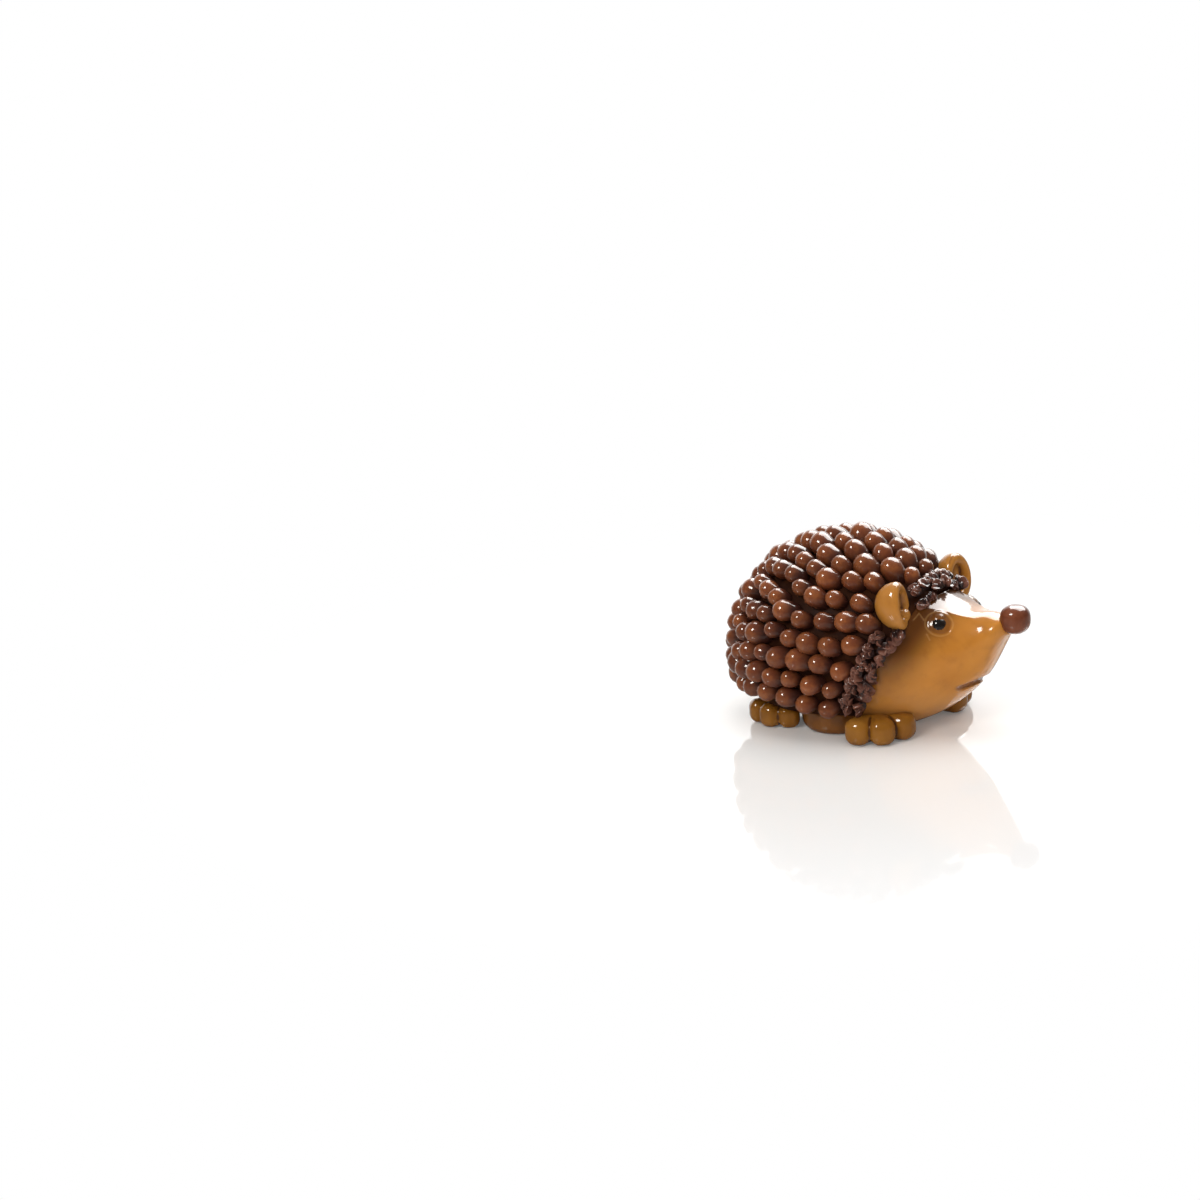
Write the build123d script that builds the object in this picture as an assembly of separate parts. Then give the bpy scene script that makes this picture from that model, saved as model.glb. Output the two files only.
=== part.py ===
from build123d import *

import math
import os

# Hedgehog figurine of cast and hand-set resin, modelled in millimetres.
# +X runs to the nose, +Y to the animal's left, +Z up from the shelf it stands on.

# Skin of the body, the egg-shaped form that carries everything else
rump_x = -27.7
rump_z = 13.0
crown_x = -5.5
crown_z = 33.4
waist_x = -8.0
waist_half_width = 17.8
keel_x = -8.0
keel_z = -5.0
brow_x = 13.6
brow_z = 27.0
bridge_x = 19.5
bridge_z = 24.3
snout_x = 28.0
snout_top_z = 23.9
snout_bottom_z = 20.0
snout_half_width = 2.3
cheek_x = 7.0
cheek_half_width = 15.0
jowl_x = 14.0
jowl_half_width = 10.6
muzzle_x = 21.5
muzzle_half_width = 6.2
chest_x = 8.0
chest_z = 1.0
chin_x = 15.0
chin_z = 4.6
lip_x = 22.0
lip_z = 10.7
rear_sections = 6
front_sections = 9

# Where the body is divided: the face ends on a leaning plane through the origin
face_lean = 26.6
cape_hem_z = 4.6

# Belly pad under the quill cape
belly_x = -5.5
belly_half_length = 9.5
belly_half_width = 14.3
belly_round = 2.0

# Quills: egg-shaped pellets that lean back and sit in rows parallel to the face
quill_width = 4.7
quill_length = 4.9
quill_root_share = 0.35
quill_root_depth = 1.2
quill_pitch = 4.25
quill_sweep = 0.62
quill_lift = 0.1
quill_gap = 0.12
root_slimness = 0.3
row_count = 11
rump_bend = 20.0
last_row_setback = 4.4
small_row_scales = {11: 0.74, 10: 0.86, 9: 0.94}
quill_hem_front = 6.4
quill_hem_rear = 8.3
quill_hem_run = 10.0

# Fringe of small tufts where the quills meet the face
tuft_scale = 0.55
tuft_pitch = 2.45
tuft_hem = 5.6
fringe_setbacks = {"fringe_back": 1.6, "fringe_front": -0.5}

# Eyes, nose and mouth
eye_radius = 1.6
eye_x = 16.8
eye_z = 22.4
eye_sink = 0.55
eyelid_width = 0.75
eyelid_groove = 0.28
nose_radius = 2.75
nose_x = 29.3
nose_z = 23.1
mouth_x = 22.6
mouth_z = 10.9
mouth_slope = 21.0
mouth_gape = 0.95
mouth_depth = 0.7
mouth_corner_x = 19.2

# Ears: thick-lipped cups that open forwards
ear_x = 10.6
ear_z = 26.2
ear_half_width = 3.2
ear_tallness = 1.45
ear_fullness = 1.45
ear_wall = 1.5
ear_yaw = -12.0
ear_pitch = 8.0
ear_stand_out = 3.4
ear_clearance = 0.15

# Paws: fans of fat blunt toes that stand on the shelf
front_paw_x = 3.6
front_paw_y = 9.6
front_toe_turns = (88.0, 44.0, -4.0)
front_toe_reach = 8.3
front_toe_width = 4.8
front_toe_height = 5.2
rear_paw_x = -17.0
rear_paw_y = 7.4
rear_toe_turns = (137.0, 94.0, 55.0)
rear_toe_reach = 7.4
rear_toe_width = 4.0
rear_toe_height = 4.5
toe_roundness = 0.4
paw_clearance = 0.1

# Width of the glue line that a set-in piece is seated on
glue_line = 0.05


# Lines of the body

def rear_arc(x, peak_x, start, peak):
    """Quarter ellipse that leaves the rump square and levels out at its peak."""
    share = (peak_x - x) / (peak_x - rump_x)
    return start + (peak - start) * math.sqrt(max(0.0, 1 - share * share))


def front_curve(x, knots):
    """Smooth cubic through a few points, level at the first of them."""
    slopes = [0.0]
    for before, after in zip(knots, knots[2:]):
        slopes.append((after[1] - before[1]) / (after[0] - before[0]))
    slopes.append((knots[-1][1] - knots[-2][1]) / (knots[-1][0] - knots[-2][0]))
    i = max(k for k in range(len(knots) - 1) if x >= knots[k][0] or k == 0)
    (x0, v0), (x1, v1) = knots[i], knots[i + 1]
    step = x1 - x0
    t = (x - x0) / step
    return (
        (2 * t**3 - 3 * t**2 + 1) * v0
        + (t**3 - 2 * t**2 + t) * step * slopes[i]
        + (3 * t**2 - 2 * t**3) * v1
        + (t**3 - t**2) * step * slopes[i + 1]
    )


back_line = [(crown_x, crown_z), (brow_x, brow_z), (bridge_x, bridge_z), (snout_x, snout_top_z)]
under_line = [(keel_x, keel_z), (chest_x, chest_z), (chin_x, chin_z), (lip_x, lip_z), (snout_x, snout_bottom_z)]
side_line = [
    (waist_x, waist_half_width),
    (cheek_x, cheek_half_width),
    (jowl_x, jowl_half_width),
    (muzzle_x, muzzle_half_width),
    (snout_x, snout_half_width),
]


def body_section(x):
    """Middle height, half height and half width of the body at a station along X."""
    top = rear_arc(x, crown_x, rump_z, crown_z) if x < crown_x else front_curve(x, back_line)
    bottom = rear_arc(x, keel_x, rump_z, keel_z) if x < keel_x else front_curve(x, under_line)
    half_width = rear_arc(x, waist_x, 0.0, waist_half_width) if x < waist_x else front_curve(x, side_line)
    return (top + bottom) / 2, (top - bottom) / 2, half_width


def body_depth(point):
    """Below 1 inside the skin, 1 on it and above 1 outside it."""
    middle, half_height, half_width = body_section(min(max(point.X, rump_x + 0.001), snout_x))
    return math.hypot(point.Y / half_width, (point.Z - middle) / half_height)


def skin_normal(point):
    step = 0.02
    slope = []
    for nudge in (Vector(step, 0, 0), Vector(0, step, 0), Vector(0, 0, step)):
        slope.append(body_depth(point + nudge) - body_depth(point - nudge))
    return Vector(*slope).normalized()


def skin_point(start, direction):
    """Point where a line from inside the body leaves through the skin."""
    near, far = 0.0, 2 * crown_z
    for _ in range(36):
        middle = (near + far) / 2
        spot = start + direction * middle
        outside = spot.X < rump_x or body_depth(spot) > 1
        near, far = (near, middle) if outside else (middle, far)
    return start + direction * near


def body_form(shrink=0.0):
    """Loft through ellipses that stand square to the length of the body."""
    turns = [k / rear_sections for k in [0.45, *range(1, rear_sections + 1)]]
    stations = [rump_x + (crown_x - rump_x) * (1 - math.cos(turn * math.pi / 2)) for turn in turns]
    stations += [crown_x + (snout_x - crown_x) * k / front_sections for k in range(1, front_sections + 1)]
    sections = []
    for x in stations:
        middle, half_height, half_width = body_section(x)
        plane = Plane((x, 0, middle), x_dir=(0, 1, 0), z_dir=(1, 0, 0))
        sections.append(plane * Ellipse(half_width - shrink, half_height - shrink))
    return loft(sections)


# Body: one form, divided into the face and the quill cape, with the belly pad under the cape

lean = math.radians(face_lean)
face_normal = Vector(math.cos(lean), 0, -math.sin(lean))
face_up = Vector(math.sin(lean), 0, math.cos(lean))
face_plane = Plane((0, 0, 0), x_dir=(0, 1, 0), z_dir=face_normal)

body = body_form()
seat_form = body_form(shrink=-glue_line)
standing = split(body, bisect_by=Plane.XY, keep=Keep.TOP)
face = split(standing, bisect_by=face_plane, keep=Keep.TOP)
trunk = split(standing, bisect_by=face_plane, keep=Keep.BOTTOM)
cape = split(trunk, bisect_by=Plane.XY.offset(cape_hem_z), keep=Keep.TOP)


def belly_form(grow=0.0):
    pad = extrude(Ellipse(belly_half_length + grow, belly_half_width + grow), cape_hem_z)
    pad = fillet(pad.edges().group_by(Axis.Z)[0], belly_round)
    return split(Pos(belly_x, 0, 0) * pad, bisect_by=face_plane, keep=Keep.BOTTOM)


belly = belly_form()
parts = {"quill_cape": cape, "belly": belly}

# Face: seats for the eyes and the nose, a ring round each eye and the groove of the mouth

nose_centre = Vector(nose_x, 0, nose_z)
face -= Pos(nose_centre) * Sphere(nose_radius + glue_line)
parts["nose"] = Pos(nose_centre) * Sphere(nose_radius)

for side, sign in (("left", 1), ("right", -1)):
    on_skin = skin_point(Vector(eye_x, 0, eye_z), Vector(0, sign, 0))
    outward = skin_normal(on_skin)
    eye_centre = on_skin - outward * eye_sink
    eye_plane = Plane(on_skin, z_dir=outward)
    face -= Pos(eye_centre) * Sphere(eye_radius + glue_line)
    face -= eye_plane * Torus(eye_radius + eyelid_width, eyelid_groove)
    parts[f"eye_{side}"] = Pos(eye_centre) * Sphere(eye_radius)

mouth_plane = Plane((mouth_x, 0, mouth_z)).rotated((0, -mouth_slope, 0))
mouth_slab = mouth_plane * Box(4 * muzzle_half_width, 4 * muzzle_half_width, mouth_gape)
mouth_front = split(mouth_slab, bisect_by=Plane.YZ.offset(mouth_corner_x), keep=Keep.TOP)
face -= mouth_front - body_form(shrink=mouth_depth)
parts["head"] = face

# Ears: a turned cup, drawn tall, set on the edge of the cape

ear_inner = ear_half_width - ear_wall
with BuildPart() as turned_cup:
    with BuildSketch(Plane.XZ):
        with BuildLine():
            CenterArc((0, 0), ear_half_width, 90, 90)
            Line((-ear_half_width, 0), (-ear_inner, 0))
            CenterArc((0, 0), ear_inner, 90, 90)
            CenterArc((0, (ear_half_width + ear_inner) / 2), ear_wall / 2, -90, 180)
        make_face()
    revolve(axis=Axis.X)
ear_cup = scale(turned_cup.part, by=(ear_fullness, 1, ear_tallness))
ear_centres = []
for side, sign in (("left", 1), ("right", -1)):
    on_skin = skin_point(Vector(ear_x, 0, ear_z), Vector(0, sign, 0))
    ear_centre = on_skin + Vector(0, sign * ear_stand_out, 0)
    ear_centres.append(ear_centre)
    ear = Pos(ear_centre) * Rot(0, 0, sign * ear_yaw) * Rot(0, -ear_pitch, 0) * ear_cup
    parts[f"ear_{side}"] = ear - seat_form


# Quills and tufts: rings of pellets on planes parallel to the face, from the rump forwards

def quill_hem(x):
    """Height of the lowest quills, which leave room for the rear paws."""
    share = min(1.0, max(0.0, -x / quill_hem_run))
    return quill_hem_front + (quill_hem_rear - quill_hem_front) * share


def ring_points(setback, pitch, staggered, hem):
    """Points round the skin on a plane behind the face plane, even from the back down to the hem."""
    axis_point = Vector(waist_x, 0, rump_z)
    centre = axis_point - face_normal * (setback + axis_point.dot(face_normal))
    steps = 360
    outline = []
    lengths = []
    for k in range(steps + 1):
        turn = math.pi * k / steps
        spot = skin_point(centre, face_up * math.cos(turn) + Vector(0, math.sin(turn), 0))
        if spot.Z < hem(spot.X):
            break
        lengths.append(lengths[-1] + (spot - outline[-1]).length if outline else 0.0)
        outline.append(spot)
    start = 0.5 * staggered
    count = max(1, round(lengths[-1] / pitch - start))
    points = []
    for k in range(count + 1):
        wanted = (k + start) * lengths[-1] / (count + start)
        i = min(len(lengths) - 2, max(j for j in range(len(lengths)) if lengths[j] <= wanted + 1e-6))
        share = (wanted - lengths[i]) / (lengths[i + 1] - lengths[i])
        point = outline[i] + (outline[i + 1] - outline[i]) * share
        points.append(point)
        if point.Y > 0.1 * pitch:
            points.append(Vector(point.X, -point.Y, point.Z))
    return points


def lean_of(point):
    """Direction of a quill: outwards, swept back along the skin."""
    outward = skin_normal(point)
    back = Vector(-1, 0, quill_lift)
    along_skin = back - outward * back.dot(outward)
    return (outward + along_skin * quill_sweep).normalized()


rear_spine = [Vector(x, 0, sum(body_section(x)[:2])) for x in (rump_x + 0.02 * k for k in range(1, 800))]
rear_pole = min(rear_spine, key=lambda spot: spot.dot(face_normal))
pole_setback = -rear_pole.dot(face_normal)
quarter = rump_bend * math.pi / 2
row_step = (quarter + pole_setback - last_row_setback - rump_bend) / row_count

paw_places = {
    "front_paw": (front_paw_x, front_paw_y, front_toe_turns, front_toe_reach, front_toe_width, front_toe_height),
    "rear_paw": (rear_paw_x, rear_paw_y, rear_toe_turns, rear_toe_reach, rear_toe_width, rear_toe_height),
}
pellets = [("quill_row_01", rear_pole, 1.0)]
for row in range(1, row_count + 1):
    walked = row * row_step
    advance = rump_bend * (1 - math.cos(walked / rump_bend)) if walked < quarter else rump_bend + walked - quarter
    for point in ring_points(pole_setback - advance, quill_pitch, row % 2, quill_hem):
        pellets.append((f"quill_row_{row:02d}", point, small_row_scales.get(row, 1.0)))
for number, (name, setback) in enumerate(fringe_setbacks.items()):
    for point in ring_points(setback, tuft_pitch, number, lambda x: tuft_hem):
        pellets.append((name, point, tuft_scale))

def meets_ear(spot, radius):
    """Whether a ball of this radius comes too close to one of the ears."""
    room = radius + ear_clearance
    for centre in ear_centres:
        away = spot - centre
        depth = ear_fullness * (ear_half_width if away.X < 0 else ear_wall / 2) + room
        height = ear_tallness * ear_half_width + room
        if math.hypot(away.X / depth, away.Y / (ear_half_width + room), away.Z / height) < 1:
            return True
    return False


def meets_paw(spot, radius):
    """Whether a ball of this radius hangs so low over a paw that it could touch the toes."""
    for x, y, turns, reach, width, height in paw_places.values():
        if spot.Z - radius > height + paw_clearance:
            continue
        for turn in turns:
            ahead = Vector(1, 0, 0).rotate(Axis.Z, turn)
            away = Vector(spot.X - x, abs(spot.Y) - y, 0)
            along = min(reach - width / 2, max(0.0, away.dot(ahead)))
            if (away - ahead * along).length < width / 2 + radius:
                return True
    return False


standing_pellets = []
for name, point, size in pellets:
    radius = size * quill_width / 2
    tip = point + lean_of(point) * (quill_length * size - radius)
    at_ear = meets_ear(tip, 0.8 * radius) or meets_ear(point, 0.4 * radius)
    if not at_ear and not meets_paw(tip, radius):
        standing_pellets.append((name, point, tip, size))


def free_radius(pellet):
    """Largest radius that keeps a pellet clear of its neighbours, each taking room by its size."""
    root, tip, size = pellet[1:]
    least = size * quill_width / 2
    for other in standing_pellets:
        if other is pellet or (other[1] - root).length > 3 * quill_pitch:
            continue
        share = size / (size + other[3])
        for i in range(4):
            for j in range(4):
                here = root + (tip - root) * (i / 3)
                there = other[1] + (other[2] - other[1]) * (j / 3)
                fullness = 2 - root_slimness * ((1 - i / 3) ** 2 + (1 - j / 3) ** 2)
                least = min(least, 2 * share * ((here - there).length - quill_gap) / fullness)
    return least


def pellet_solid(root, tip, radius, size):
    """Egg turned on its own axis: round at the tip, drawn in towards the root."""
    reach = (tip - root).length
    drop = reach + quill_root_depth * size
    waist = radius * (1 - quill_root_share)
    side_radius = (drop**2 + waist**2) / (2 * waist)
    side_turn = math.degrees(math.asin(drop / side_radius))
    with BuildPart() as egg:
        with BuildSketch(Plane.XZ):
            with BuildLine():
                CenterArc((0, reach), radius, 0, 90)
                CenterArc((radius - side_radius, reach), side_radius, 0, -side_turn)
                Polyline((0, reach + radius), (0, reach - drop), (radius - waist, reach - drop))
            make_face()
        revolve(axis=Axis.Z)
    return Plane(root, z_dir=tip - root) * egg.part


rows = {}
for pellet in standing_pellets:
    name, root, tip, size = pellet
    radius = free_radius(pellet)
    rows.setdefault(name, []).append(pellet_solid(root, tip, radius, size) - seat_form)
for name, solids in rows.items():
    parts[name] = Compound(children=solids)


# Paws: each one a fan of toes, flat where it stands on the shelf

def toe(reach, width, height):
    """Block with all its edges rounded, from the middle of the paw to the blunt tip."""
    block = Box(reach, width, height, align=(Align.MIN, Align.CENTER, Align.MIN))
    return fillet(block.edges(), toe_roundness * width)


def paw(x, y, turns, reach, width, height):
    fan = Part()
    for turn in turns:
        fan += Rot(0, 0, turn) * toe(reach, width, height)
    return Pos(x, y, 0) * fan


paw_seats = {
    "front_paw": seat_form,
    "rear_paw": split(seat_form, bisect_by=Plane.XY.offset(cape_hem_z - glue_line), keep=Keep.TOP),
}
for name, place in paw_places.items():
    left_paw = paw(*place) - paw_seats[name] - belly_form(grow=glue_line)
    parts[f"{name}_left"] = left_paw
    parts[f"{name}_right"] = mirror(left_paw, about=Plane.XZ)

os.makedirs("parts", exist_ok=True)
for name, part in parts.items():
    part.label = name
    export_step(part, f"parts/{name}.step")
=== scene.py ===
import math

import bmesh
import bpy
from mathutils import Matrix, Vector
from mathutils.bvhtree import BVHTree


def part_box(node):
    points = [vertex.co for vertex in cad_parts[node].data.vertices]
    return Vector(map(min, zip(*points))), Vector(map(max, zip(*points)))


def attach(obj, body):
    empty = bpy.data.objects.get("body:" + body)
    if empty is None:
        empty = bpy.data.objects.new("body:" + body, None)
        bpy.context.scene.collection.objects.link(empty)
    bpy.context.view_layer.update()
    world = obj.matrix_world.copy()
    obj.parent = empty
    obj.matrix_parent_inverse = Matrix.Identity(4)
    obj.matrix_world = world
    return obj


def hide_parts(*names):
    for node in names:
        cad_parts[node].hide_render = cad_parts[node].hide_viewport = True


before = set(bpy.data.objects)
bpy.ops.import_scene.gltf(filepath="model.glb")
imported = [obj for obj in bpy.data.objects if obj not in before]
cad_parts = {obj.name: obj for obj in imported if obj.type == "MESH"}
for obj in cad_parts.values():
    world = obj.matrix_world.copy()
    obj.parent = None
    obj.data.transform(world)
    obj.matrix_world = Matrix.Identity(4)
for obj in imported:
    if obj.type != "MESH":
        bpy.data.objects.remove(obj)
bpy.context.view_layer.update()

# Belly: the soft tan pad that the figurine rests on, cast in resin with the body.
# Its edge swells a little between the paws and it is flat where it stands.

MM = 0.001
weld_distance = 1e-6
lump_rounding = 4
edge_softness = 0.5


def soft_copy(node, name, grain, rounds, lumps=()):
    """Copy of a cast piece with its edges softened, as thick varnish leaves them."""
    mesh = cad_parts[node].data.copy()
    shape = bmesh.new()
    shape.from_mesh(mesh)
    bmesh.ops.remove_doubles(shape, verts=shape.verts, dist=weld_distance)
    for lump in lumps:
        bmesh.ops.create_icosphere(shape, subdivisions=lump_rounding, radius=1.0, matrix=lump)
    shape.to_mesh(mesh)
    shape.free()
    mesh.materials.clear()
    blank = bpy.data.objects.new(name, mesh)
    bpy.context.scene.collection.objects.link(blank)
    remesh = blank.modifiers.new("even grain", "REMESH")
    remesh.mode = "VOXEL"
    remesh.voxel_size = grain
    smooth = blank.modifiers.new("soft edges", "SMOOTH")
    smooth.factor = edge_softness
    smooth.iterations = rounds
    depsgraph = bpy.context.evaluated_depsgraph_get()
    blank.data = bpy.data.meshes.new_from_object(blank.evaluated_get(depsgraph))
    blank.modifiers.clear()
    bpy.data.meshes.remove(mesh)
    blank.data.name = name
    for vert in blank.data.vertices:
        vert.co.z = max(0.0, vert.co.z)
    return blank


wash_kept = 0.4
wash_shared = 0.6


def mark_hollows(piece, reach, rounds):
    """Stores how deep each point lies in a crease, where the dark wash of paint collects and painted
    shade darkens the colour.
    """
    mesh = piece.data
    shape = bmesh.new()
    shape.from_mesh(mesh)
    shape.verts.ensure_lookup_table()
    rings = [[edge.other_vert(vert).index for edge in vert.link_edges] for vert in shape.verts]
    depth = []
    for vert, ring in zip(shape.verts, rings):
        middle = sum((shape.verts[k].co for k in ring), Vector()) / max(1, len(ring))
        depth.append((middle - vert.co).dot(vert.normal) / reach)
    for _ in range(rounds):
        around = [sum(depth[k] for k in ring) / max(1, len(ring)) for ring in rings]
        depth = [wash_kept * own + wash_shared * mean for own, mean in zip(depth, around)]
    shape.free()
    crease = mesh.attributes.new("crease", "FLOAT", "POINT")
    crease.data.foreach_set("value", [min(1.0, max(0.0, value)) for value in depth])
    mesh.polygons.foreach_set("use_smooth", [True] * len(mesh.polygons))


def new_group(name, inputs, outputs):
    """Empty shader group with its named sockets and the nodes at both ends."""
    group = bpy.data.node_groups.new(name, "ShaderNodeTree")
    for label, kind, value in inputs:
        socket = group.interface.new_socket(name=label, in_out="INPUT", socket_type=kind)
        socket.default_value = value
    for label, kind in outputs:
        group.interface.new_socket(name=label, in_out="OUTPUT", socket_type=kind)
    start = group.nodes.new("NodeGroupInput")
    end = group.nodes.new("NodeGroupOutput")
    return group, start, end


def add(tree, kind, links=(), **settings):
    """New node in a tree, with its settings, its plain values and its links."""
    node = tree.nodes.new(kind)
    for key, value in settings.items():
        setattr(node, key, value)
    for socket, source in links:
        if hasattr(source, "is_output"):
            tree.links.new(source, node.inputs[socket])
        else:
            node.inputs[socket].default_value = source
    return node


def mix(tree, share, under, over):
    """Colour mixed over another by a share between 0 and 1."""
    links = [(0, share), (6, under), (7, over)]
    return add(tree, "ShaderNodeMix", links, data_type="RGBA").outputs[2]


def spread(tree, value, low, high, start=0.0, end=1.0):
    """Value stretched from one range to another, clamped and eased."""
    links = [("Value", value), (1, low), (2, high), (3, start), (4, end)]
    return add(tree, "ShaderNodeMapRange", links, interpolation_type="SMOOTHSTEP").outputs[0]


def noise(tree, place, scale, detail, roughness=0.5):
    """Cloudy value between 0 and 1."""
    links = [("Vector", place), ("Scale", scale), ("Detail", detail), ("Roughness", roughness)]
    return add(tree, "ShaderNodeTexNoise", links).outputs["Fac"]


WHITE = (1.0, 1.0, 1.0, 1.0)
plain_patch_size = 200.0
patch_roughness = 0.55
grain_scale = 2600.0
streak_scale = (260.0, 700.0, 420.0)
blush_range = (0.4, 0.7)
blush_share = 0.6
streak_range = (0.45, 0.8)
streak_share = 0.2
crease_range = (0.08, 0.75)
dull_range = (0.3, 0.7)
paint_roughness = (0.42, 0.56)
wash_group, wash_in, wash_out = new_group(
    "brushed resin and painted shade",
    [
        ("Body", "NodeSocketColor", WHITE),
        ("Wash and Shade", "NodeSocketColor", WHITE),
        ("Blush", "NodeSocketColor", WHITE),
        ("Crease", "NodeSocketFloat", 0.0),
        ("Patch Size", "NodeSocketFloat", plain_patch_size),
    ],
    [("Colour", "NodeSocketColor"), ("Roughness", "NodeSocketFloat"), ("Height", "NodeSocketFloat")],
)
given = wash_in.outputs
resin_place = add(wash_group, "ShaderNodeTexCoord").outputs["Object"]
patches = noise(wash_group, resin_place, given["Patch Size"], detail=3.0, roughness=patch_roughness)
fine_grain = noise(wash_group, resin_place, grain_scale, detail=2.0)
drawn_out = add(wash_group, "ShaderNodeMapping", [("Vector", resin_place), ("Scale", streak_scale)])
streaks = noise(wash_group, drawn_out.outputs[0], scale=1.0, detail=4.0)
blushed = spread(wash_group, patches, *blush_range, end=blush_share)
tinted = mix(wash_group, blushed, given["Body"], given["Blush"])
streaked = spread(wash_group, streaks, *streak_range, end=streak_share)
brushed = mix(wash_group, streaked, tinted, given["Wash and Shade"])
# The crease mark darkens the colour towards the wash: part real wash, part painted shade in the
# hollows.
crease_wash_and_shade = spread(wash_group, given["Crease"], *crease_range)
washed_and_shaded = mix(wash_group, crease_wash_and_shade, brushed, given["Wash and Shade"])
dullness = spread(wash_group, patches, *dull_range, *paint_roughness)
wash_group.links.new(washed_and_shaded, wash_out.inputs["Colour"])
wash_group.links.new(dullness, wash_out.inputs["Roughness"])
wash_group.links.new(fine_grain, wash_out.inputs["Height"])
grain_bump = 0.02
grain_depth = 0.2 * MM
paint_specular = 0.06
varnish_weight = 1.0
varnish_roughness = 0.035
varnish_ior = 1.45


def resin(name, body, wash_and_shade, blush, patch_size=plain_patch_size, crease="crease"):
    """Painted resin under gloss varnish: brushed colour, a dark wash with painted shade in the creases,
    and a clear coat.
    """
    material = bpy.data.materials.new(name)
    material.use_nodes = True
    tree = material.node_tree
    shader = tree.nodes["Principled BSDF"]
    depth = add(tree, "ShaderNodeAttribute", attribute_name=crease)
    paint = add(
        tree, "ShaderNodeGroup",
        [
            ("Body", (*body, 1.0)), ("Wash and Shade", (*wash_and_shade, 1.0)), ("Blush", (*blush, 1.0)),
            ("Crease", depth.outputs["Fac"]), ("Patch Size", patch_size),
        ],
        node_tree=wash_group,
    )
    relief = add(
        tree, "ShaderNodeBump",
        [("Height", paint.outputs["Height"]), ("Strength", grain_bump), ("Distance", grain_depth)],
    )
    tree.links.new(paint.outputs["Colour"], shader.inputs["Base Color"])
    tree.links.new(paint.outputs["Roughness"], shader.inputs["Roughness"])
    tree.links.new(relief.outputs[0], shader.inputs["Normal"])
    shader.inputs["Specular IOR Level"].default_value = paint_specular
    shader.inputs["Coat Weight"].default_value = varnish_weight
    shader.inputs["Coat Roughness"].default_value = varnish_roughness
    shader.inputs["Coat IOR"].default_value = varnish_ior
    return material, paint


def place_piece(piece, material, slot, *nodes):
    """Gives a finished piece its material and its place in the assembly."""
    piece.data.materials.clear()
    piece.data.materials.append(material)
    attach(piece, "root")
    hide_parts(*nodes)


belly_brown = (0.20, 0.072, 0.013)
belly_wash_and_shade = (0.07, 0.022, 0.006)
belly_blush = (0.27, 0.105, 0.022)
belly = soft_copy("belly", "belly_pad", grain=0.4 * MM, rounds=6)
# A brown wash and painted shade are marked in the creases of the pad.
mark_hollows(belly, reach=0.05 * MM, rounds=2)
belly_resin = resin("belly resin", belly_brown, belly_wash_and_shade, belly_blush)[0]
place_piece(belly, belly_resin, "belly", "belly")

# Head: pointed tan face and chest, cast in one with the eyelids, the brow, the mouth
# and the seat of the nose. The paint is sprayed on, with a brown wash and painted shade in the creases.

eye_rim_near = 2.4 * MM
eye_rim_far = 4.5 * MM
lid_tilt = Vector((-0.35, 0.94))
lid_mound = (2.5 * MM, 2.2 * MM, 1.15 * MM)
upper_lid_rise = 0.8 * MM
upper_lid_radius = 1.56 * MM


def mound(middle, first, second, third):
    """Rounded lump with three half-axes, to be melted into a piece."""
    turned = Matrix((first, second, third)).transposed().to_4x4()
    return Matrix.Translation(middle) @ turned


def ball(middle, radius):
    """Round lump, to be melted into a piece."""
    return Matrix.Translation(middle) @ Matrix.Scale(radius, 4)


eye_places = []
lids = []
for side in ("left", "right"):
    low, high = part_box(f"eye_{side}")
    eye = (Vector(low) + Vector(high)) / 2
    skin_round = [
        face.normal * face.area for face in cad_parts["head"].data.polygons
        if eye_rim_near < (face.center - eye).length < eye_rim_far
    ]
    outward = sum(skin_round, Vector()).normalized()
    forward = (Vector((1.0, 0.0, 0.0)) - outward * outward.x).normalized()
    upward = outward.cross(forward) * math.copysign(1.0, outward.cross(forward).z)
    eye_places.append((eye, outward, forward, upward))
    lids.append(mound(eye, forward * lid_mound[0], upward * lid_mound[1], outward * lid_mound[2]))
    lid_middle = eye + (forward * lid_tilt.x + upward * lid_tilt.y) * upper_lid_rise
    lids.append(ball(lid_middle, upper_lid_radius))
head = soft_copy("head", "face_and_chest", grain=0.2 * MM, rounds=9, lumps=lids)

brow_line = ((9.0, 8.4), (14.1, 6.2), (16.5, 4.7), (21.3, 3.1), (28.0, 2.7))
brow_foot_z = 19.5 * MM
brow_rise = 2.0 * MM
brow_start = (9.0 * MM, 12.0 * MM)
brow_fade = (18.0 * MM, 25.0 * MM)
brow_edge = 0.2
brow_lift = 0.45 * MM
crown_drop = 0.5 * MM


def ridge(distance, width):
    """Bell-shaped share of a lift that fades away from a line."""
    return math.exp(-((distance / width) ** 2))


def eased(value, low, high):
    """Share between 0 and 1 of a value on its way from low to high."""
    share = min(1.0, max(0.0, (value - low) / (high - low)))
    return share * share * (3 - 2 * share)


def brow_half_width(x):
    """Distance of the brow from the middle of the face at a place along the head."""
    for (first_x, first_y), (last_x, last_y) in zip(brow_line, brow_line[1:]):
        if x < last_x * MM:
            share = (x / MM - first_x) / (last_x - first_x)
            return (first_y + (last_y - first_y) * max(0.0, share)) * MM
    return brow_line[-1][1] * MM


for vert in head.data.vertices:
    if vert.co.z > brow_foot_z:
        aside = abs(vert.co.y) / brow_half_width(vert.co.x)
        if aside < 1:
            lift = brow_lift * aside * aside - crown_drop * (1 - aside * aside)
        else:
            lift = brow_lift * ridge(aside - 1, brow_edge)
        share = eased(vert.co.x, *brow_start) * (1 - eased(vert.co.x, *brow_fade))
        vert.co.z += lift * share * eased(vert.co.z, brow_foot_z, brow_foot_z + brow_rise)

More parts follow.
